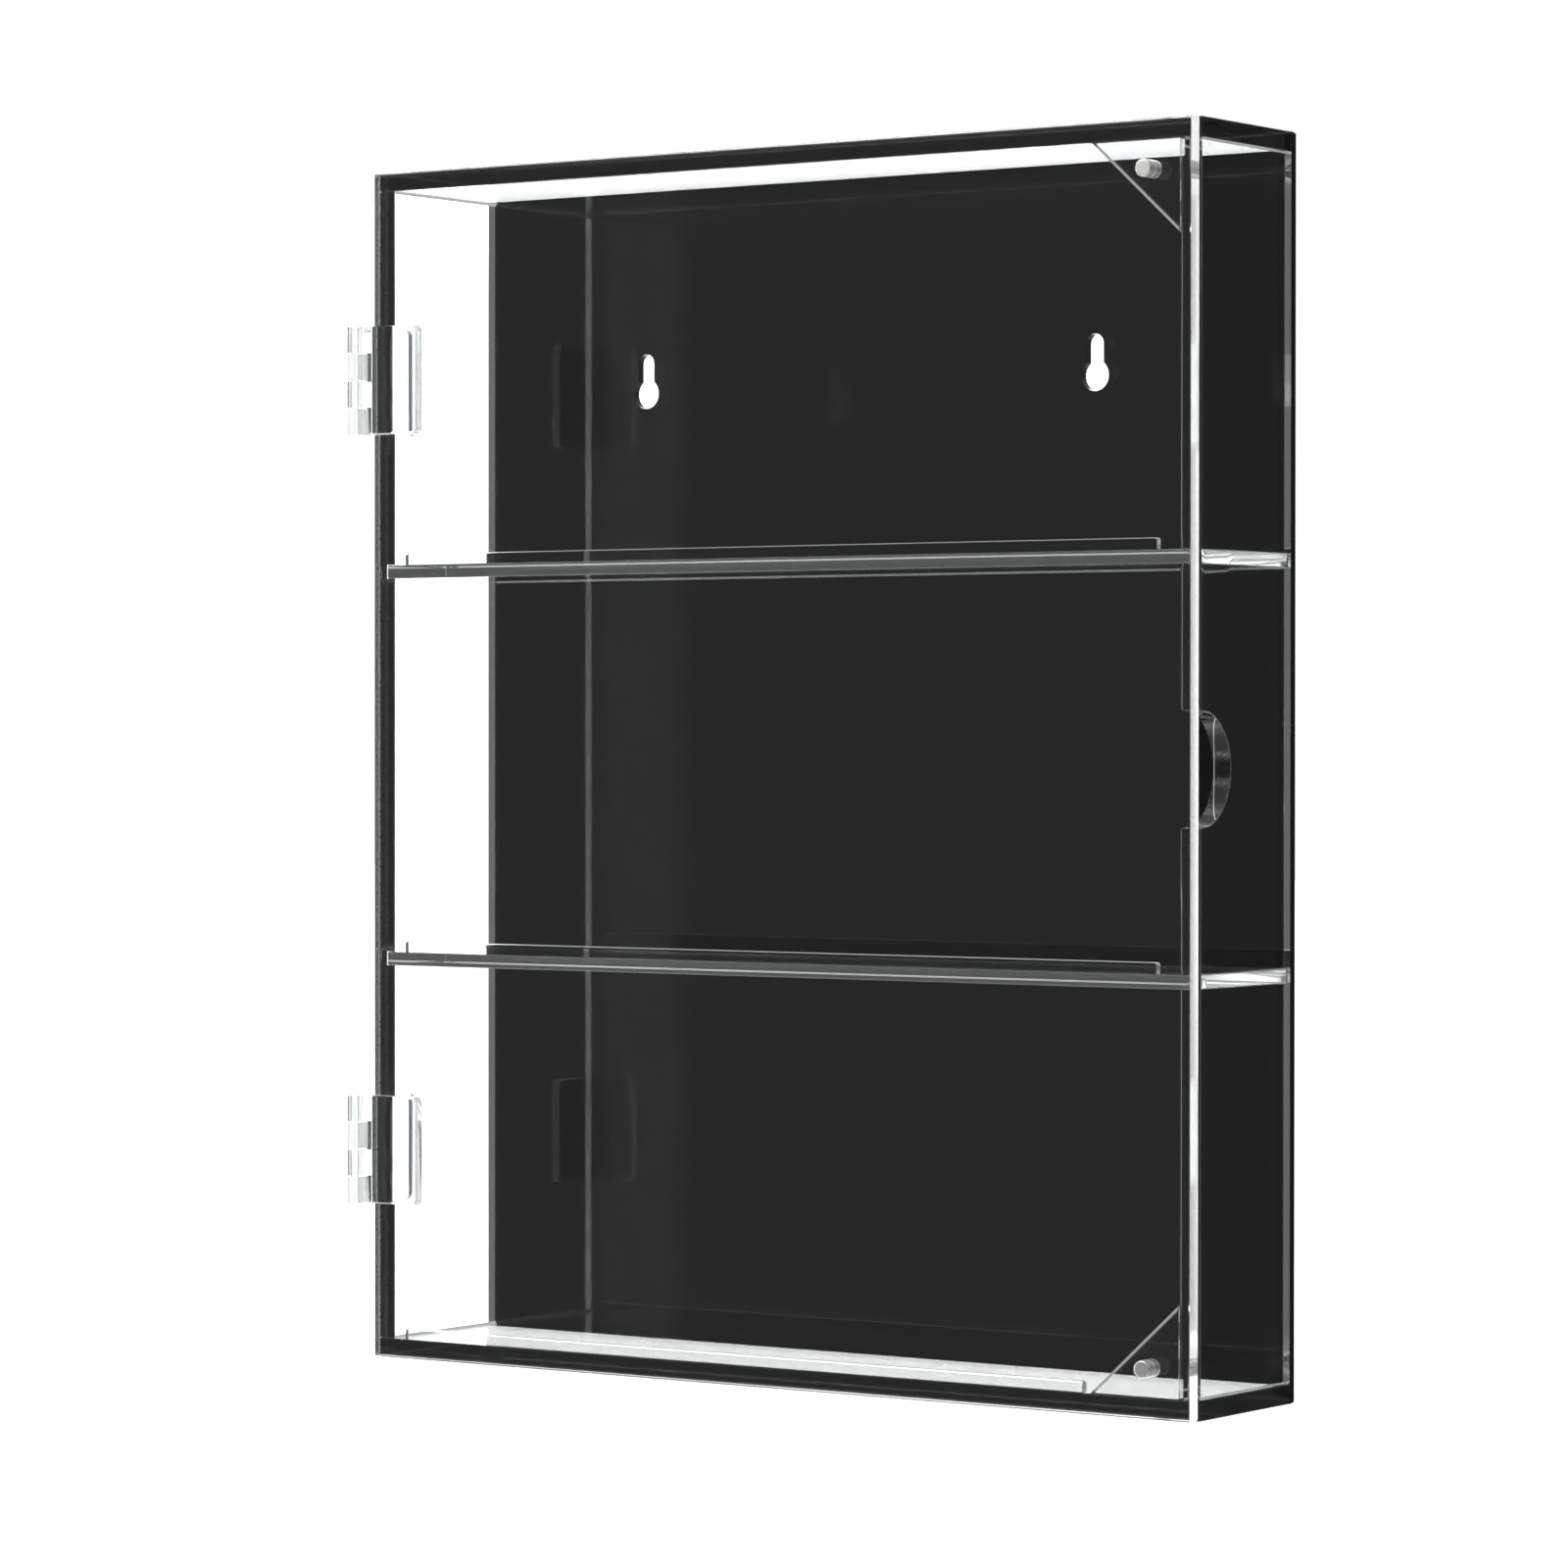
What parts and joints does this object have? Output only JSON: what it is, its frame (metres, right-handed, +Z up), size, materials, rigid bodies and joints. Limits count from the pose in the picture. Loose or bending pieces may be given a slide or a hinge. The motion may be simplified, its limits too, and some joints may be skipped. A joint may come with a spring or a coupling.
{
  "type": "trading card display case",
  "caption": "Shallow clear wall case with a black back, grooved shelves with low front lips, and a clear door on pinned side hinges that shuts on corner magnets",
  "frame": {"origin": "centre of the underside, midway between the side panels' outer faces and between the door's front face and the wall face, at the height of the face that the case stands on", "axes": "+X to the right as seen from the front, where the door's free edge is; +Y from the door to the wall; +Z up"},
  "size_m": [0.3597, 0.0783, 0.44],
  "materials": {
    "clear_acrylic": "clear cast acrylic sheet with polished edges",
    "black_acrylic": "opaque gloss black acrylic sheet",
    "hinge_acrylic": "clear moulded acrylic",
    "nickel": "bright nickel plating"
  },
  "bodies": {
    "case": {"back_panel": "black_acrylic", "top_panel": "clear_acrylic", "bottom_panel": "clear_acrylic", "left_side_panel": "clear_acrylic", "right_side_panel": "clear_acrylic", "upper_shelf": "clear_acrylic", "lower_shelf": "clear_acrylic", "upper_shelf_lip": "clear_acrylic", "lower_shelf_lip": "clear_acrylic", "bottom_lip": "clear_acrylic", "upper_corner_gusset": "clear_acrylic", "lower_corner_gusset": "clear_acrylic", "upper_case_magnet": "nickel", "lower_case_magnet": "nickel", "upper_hinge_case_leaf": "hinge_acrylic", "lower_hinge_case_leaf": "hinge_acrylic", "upper_hinge_pin": "hinge_acrylic", "lower_hinge_pin": "hinge_acrylic"},
    "door": {"door_panel": "clear_acrylic", "upper_door_magnet": "nickel", "lower_door_magnet": "nickel", "upper_hinge_door_leaf": "hinge_acrylic", "lower_hinge_door_leaf": "hinge_acrylic"}
  },
  "joints": [
    {"name": "door_hinge", "type": "hinge", "parent": "case", "child": "door", "pos_m": [-0.1809, -0.04025, 0.22], "axis": [0, 0, 1], "range_deg": [-180, 0]}
  ]
}
